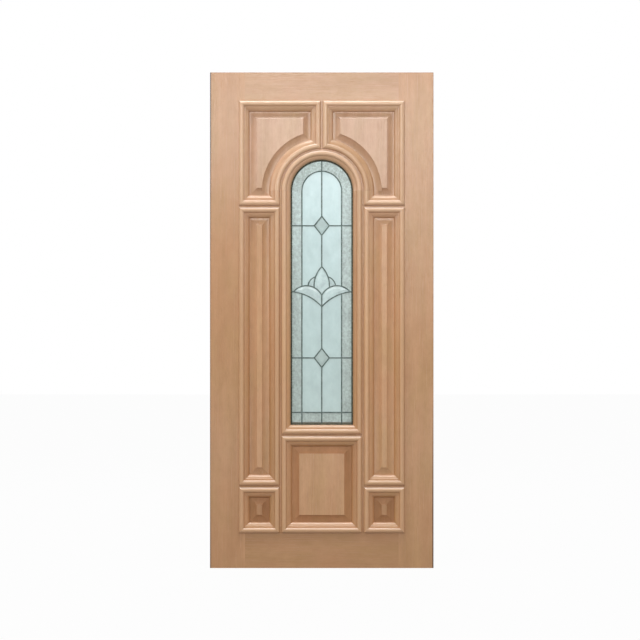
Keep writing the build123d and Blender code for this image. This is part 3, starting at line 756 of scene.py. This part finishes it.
def pane_glass(name, tint, transmission, roughness, ripple_scale, ripple_depth, mottle, clouds):
    """Glass that passes a share of the light and scatters the rest, with a rippled or stippled face."""
    material, tree, shader = new_material(name)
    sockets = [("Vector", on_piece(tree)), ("Tint", tint), ("Scale", ripple_scale), ("Mottle", mottle),
               ("Clouds", clouds)]
    cast = put(tree, "Group", sockets, node_tree=uneven_glass).outputs
    sockets = [("Strength", RIPPLE_STRENGTH), ("Distance", ripple_depth), ("Height", cast["Height"])]
    bump = put(tree, "Bump", sockets)
    tree.links.new(cast["Color"], shader.inputs["Base Color"])
    tree.links.new(bump.outputs["Normal"], shader.inputs["Normal"])
    shader.inputs["Roughness"].default_value = roughness
    shader.inputs["Transmission Weight"].default_value = transmission
    shader.inputs["IOR"].default_value = GLASS_IOR
    return material


def grimed_and_shaded(material):
    """Grime in the stipple, more of it with painted shade towards the edge of the light, painted shade in the arch,
    and a painted shadow line on the foot.

    The edge is found by distance from the middle line, and over the spring by distance from the arch's centre.
    """
    tree = material.node_tree
    base = tree.nodes["Principled BSDF"].inputs["Base Color"]
    clean = base.links[0].from_socket
    here = on_piece(tree)
    place = axes(tree, here)
    over_spring = work(tree, "MAXIMUM", work(tree, "SUBTRACT", place["Z"], spring), 0.0)
    across = work(tree, "ABSOLUTE", work(tree, "SUBTRACT", place["X"], middle_x))
    squares = work(tree, "ADD", work(tree, "POWER", across, 2.0), work(tree, "POWER", over_spring, 2.0))
    edge = middle_x - glass_left - EDGE_CAME_REACH
    near_side = spread(tree, work(tree, "SQRT", squares), edge - EDGE_GRIME_AND_SHADE_WIDTH, edge)
    foot = sill_hi.z + EDGE_CAME_REACH
    near_foot = spread(tree, place["Z"], foot + EDGE_GRIME_AND_SHADE_WIDTH, foot)
    # Painted shade in the arch, where the moulding overhangs the glass.
    arch_shade = spread(tree, place["Z"], spring - ARCH_SHADE_FADE, spring + ARCH_SHADE_FADE, 0.0, ARCH_SHADE)
    near = work(tree, "MAXIMUM", work(tree, "MAXIMUM", near_side, near_foot), arch_shade)
    share = work(tree, "MULTIPLY_ADD", near, 1.0 - GRIME_EVERYWHERE, GRIME_EVERYWHERE)
    blotches = spread(tree, speckle(tree, here, **GRIME_BLOTCHES), *GRIME_BLOTCH_RANGE)
    colour = blend(tree, work(tree, "MULTIPLY", share, blotches), clean, BORDER_GRIME_AND_SHADE, "MULTIPLY")
    # Painted shadow line along the foot, under the sill moulding.
    shadow_line = spread(tree, place["Z"], foot + SHADOW_LINE_HEIGHT, foot + SHADOW_LINE_HEIGHT / 2)
    tree.links.new(blend(tree, shadow_line, colour, FOOT_SHADOW_LINE), base)


uneven_glass = glass_cast()
border_finish = pane_glass("border_stippled_glass", **BORDER_GLASS)
grimed_and_shaded(border_finish)
finish_node("border_glass", border_finish)
finish_node("field_glass", pane_glass("field_drawn_glass", **FIELD_GLASS))
finish_node("diamond_glass", pane_glass("diamond_bevel_glass", **DIAMOND_GLASS))
finish_node("tulip_glass", pane_glass("tulip_bevel_glass", **TULIP_GLASS))


# Lead cames: drawn lead strip of H section between the panes, bent to the pattern and soldered at every joint.
# The lead has dulled to a blue grey, and is brighter where it was wiped.
LEAD_DULL = (0.055, 0.078, 0.070)
LEAD_BRIGHT = (0.120, 0.152, 0.142)
LEAD_BLOOM = {"scale": 90.0, "detail": 4.0, "roughness": 0.6}
LEAD_BLOOM_RANGE = (0.35, 0.7)
LEAD_ROUGHNESS = (0.62, 0.42)
LEAD_METALLIC = 0.7


def dull_lead():
    """Lead that has greyed unevenly: noise mixes the dull and the bright, in colour and in roughness."""
    material, tree, shader = new_material("dull_lead")
    bloom = spread(tree, speckle(tree, on_piece(tree), **LEAD_BLOOM), *LEAD_BLOOM_RANGE)
    tree.links.new(blend(tree, bloom, LEAD_DULL, LEAD_BRIGHT), shader.inputs["Base Color"])
    tree.links.new(spread(tree, bloom, 0.0, 1.0, *LEAD_ROUGHNESS), shader.inputs["Roughness"])
    shader.inputs["Metallic"].default_value = LEAD_METALLIC
    return material


finish_node("lead_cames", dull_lead())


# Glazing putty: a fillet struck off at a slope all round, where the edge came meets the moulding's toe, on both
# faces, near black as dark putty and painted shade of the reveal.  It sticks to both and has paler specks.
# The putty's near-black colour is partly dark putty, partly painted shade of the reveal.
PUTTY_SHADE_DARK = (0.030, 0.030, 0.018)
PUTTY_PALE = (0.150, 0.140, 0.090)
PUTTY_SPECKS = {"scale": 220.0, "detail": 3.0, "roughness": 0.6}
PUTTY_SPECK_RANGE = (0.48, 0.70)
PUTTY_ROUGHNESS = 0.8
PUTTY_RISE = 0.0045
PUTTY_REACH = 0.0060
PUTTY_LIP = 0.0004
PUTTY_KEY = 0.0002
PUTTY_TUCK = 0.0003


def shaded_putty():
    """Dark putty and painted shade of the reveal: noise cut off near its top gives the paler specks."""
    material, tree, shader = new_material("shaded_putty")
    specks = spread(tree, speckle(tree, on_piece(tree), **PUTTY_SPECKS), *PUTTY_SPECK_RANGE)
    tree.links.new(blend(tree, specks, PUTTY_SHADE_DARK, PUTTY_PALE), shader.inputs["Base Color"])
    shader.inputs["Roughness"].default_value = PUTTY_ROUGHNESS
    return material


putty_section = np.array([
    (GLASS_TOE - PUTTY_TUCK, -GLASS_SEAT + PUTTY_RISE), (GLASS_TOE + PUTTY_REACH, -GLASS_SEAT + PUTTY_LIP),
    (GLASS_TOE + PUTTY_REACH, -GLASS_SEAT - PUTTY_KEY), (GLASS_TOE - PUTTY_TUCK, -GLASS_SEAT - PUTTY_KEY),
])
putty_stain = np.zeros(len(putty_section))
putty_finish = shaded_putty()
for face_name, outer_face, flipped in faces_of_leaf:
    putty = mitred_lengths(face_name + "_putty", glass, putty_section, putty_stain, outer_face, flipped)
    putty.data.materials.append(putty_finish)
    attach(putty, "root")


# Floor, light and camera: a pale floor in a white room, and a camera square on to the leaf.  A steep lamp over the
# face throws the mouldings' shadows, windows to the left and in front fill them, lamps at both sides and one near
# the floor pick out the rims, and one lamp lights the back.
WHITE = (1.0, 1.0, 1.0)
FLOOR_SIZE = 14.0
FLOOR_GAP = 0.0005
FLOOR_CREASE = 30.0
FLOOR_GREY = (0.3, 0.3, 0.3, 1.0)
FLOOR_ROUGHNESS = 0.9
FLOOR_GLOW = 0.97
AMBIENT_TINT = (1.0, 0.98, 0.95, 1.0)
AMBIENT = 0.26
LAMPS = {
    "steep_lamp": {"place": (0.00, -1.30, 6.2), "target": (0.46, 0.0, 1.0), "size": (2.8, 1.3), "watts": 185.0},
    "left_window": {"place": (-2.20, -1.80, 2.3), "target": (0.46, 0.0, 2.3), "size": (2.3, 1.3), "watts": 18.0},
    "left_lamp": {"place": (-2.60, -1.20, 2.4), "target": (0.46, 0.0, 1.4), "size": (0.6, 1.6), "watts": 12.0},
    "right_lamp": {"place": (3.50, -1.20, 2.4), "target": (0.46, 0.0, 1.4), "size": (0.6, 1.6), "watts": 16.0},
    "front_window": {"place": (0.45, -3.60, 2.4), "target": (0.46, 0.0, 1.8), "size": (2.2, 1.0), "watts": 45.0},
    "low_window": {"place": (1.05, -3.60, 1.5), "target": (0.80, 0.0, 1.3), "size": (0.9, 0.8), "watts": 8.0},
    "low_lamp": {"place": (0.46, -2.60, 0.3), "target": (0.46, 0.0, 1.2), "size": (2.4, 0.4), "watts": 4.0},
    "back_lamp": {"place": (0.46, 3.40, 2.8), "target": (0.46, 0.0, 1.1), "size": (2.6, 1.4), "watts": 90.0},
}
VIEW_WIDTH = 2.634
VIEW_CENTRE = (0.4527, 1.021)
CAMERA_DISTANCE = 6.0
SENSOR_WIDTH = 36.0


def soft_lamp(name, place, target, size, watts):
    """Oblong white area lamp that faces a point and doesn't show itself."""
    lamp = bpy.data.lights.new(name, "AREA")
    lamp.shape = "RECTANGLE"
    lamp.size, lamp.size_y = size
    lamp.energy = watts
    made = bpy.data.objects.new(name, lamp)
    bpy.context.scene.collection.objects.link(made)
    made.location = place
    ahead = np.array(target) - np.array(place)
    level = math.hypot(ahead[0], ahead[1])
    made.rotation_euler = (math.atan2(level, -ahead[2]), 0.0, math.atan2(-ahead[0], ahead[1]))
    made.visible_camera = False
    made.visible_transmission = False


def clear_rays(tree):
    """One for the rays that show the background: to the camera, off a shiny face, or through glass."""
    rays = put(tree, "LightPath").outputs
    shiny = work(tree, "MAXIMUM", rays["Is Glossy Ray"], rays["Is Transmission Ray"])
    return work(tree, "MAXIMUM", rays["Is Camera Ray"], shiny)


floor_corners = np.array([(-1.0, -1.0, 0.0), (1.0, -1.0, 0.0), (1.0, 1.0, 0.0), (-1.0, 1.0, 0.0)]) * FLOOR_SIZE
floor_corners[:, 2] = leaf_lo.z - FLOOR_GAP
floor = surface("floor", floor_corners, [(0, 1, 2, 3)], FLOOR_CREASE)
floor_paint, floor_tree, floor_shader = new_material("floor_paint")
floor_shader.inputs["Base Color"].default_value = FLOOR_GREY
floor_shader.inputs["Roughness"].default_value = FLOOR_ROUGHNESS
glow = put(floor_tree, "Emission", [("Color", WHITE), ("Strength", 1.0)])
seen = work(floor_tree, "MULTIPLY", clear_rays(floor_tree), FLOOR_GLOW)
mixed = put(floor_tree, "MixShader", [(0, seen), (1, floor_shader.outputs[0]), (2, glow.outputs[0])])
floor_tree.links.new(mixed.outputs[0], floor_tree.nodes["Material Output"].inputs["Surface"])
floor.data.materials.append(floor_paint)

world = bpy.data.worlds.new("pale_room")
bpy.context.scene.world = world
world.use_nodes = True
room = world.node_tree
ambient = room.nodes["Background"]
ambient.inputs["Color"].default_value = AMBIENT_TINT
ambient.inputs["Strength"].default_value = AMBIENT
white = put(room, "Background", [("Color", WHITE), ("Strength", 1.0)])
both = put(room, "MixShader", [(0, clear_rays(room)), (1, ambient.outputs[0]), (2, white.outputs[0])])
room.links.new(both.outputs[0], room.nodes["World Output"].inputs["Surface"])

for lamp_name, lamp_values in LAMPS.items():
    soft_lamp(lamp_name, **lamp_values)

camera_data = bpy.data.cameras.new("camera")
camera_data.sensor_width = SENSOR_WIDTH
camera_data.lens = SENSOR_WIDTH * CAMERA_DISTANCE / VIEW_WIDTH
camera = bpy.data.objects.new("camera", camera_data)
bpy.context.scene.collection.objects.link(camera)
camera.location = (VIEW_CENTRE[0], leaf_face - CAMERA_DISTANCE, VIEW_CENTRE[1])
camera.rotation_euler = (math.pi / 2, 0.0, 0.0)
bpy.context.scene.camera = camera
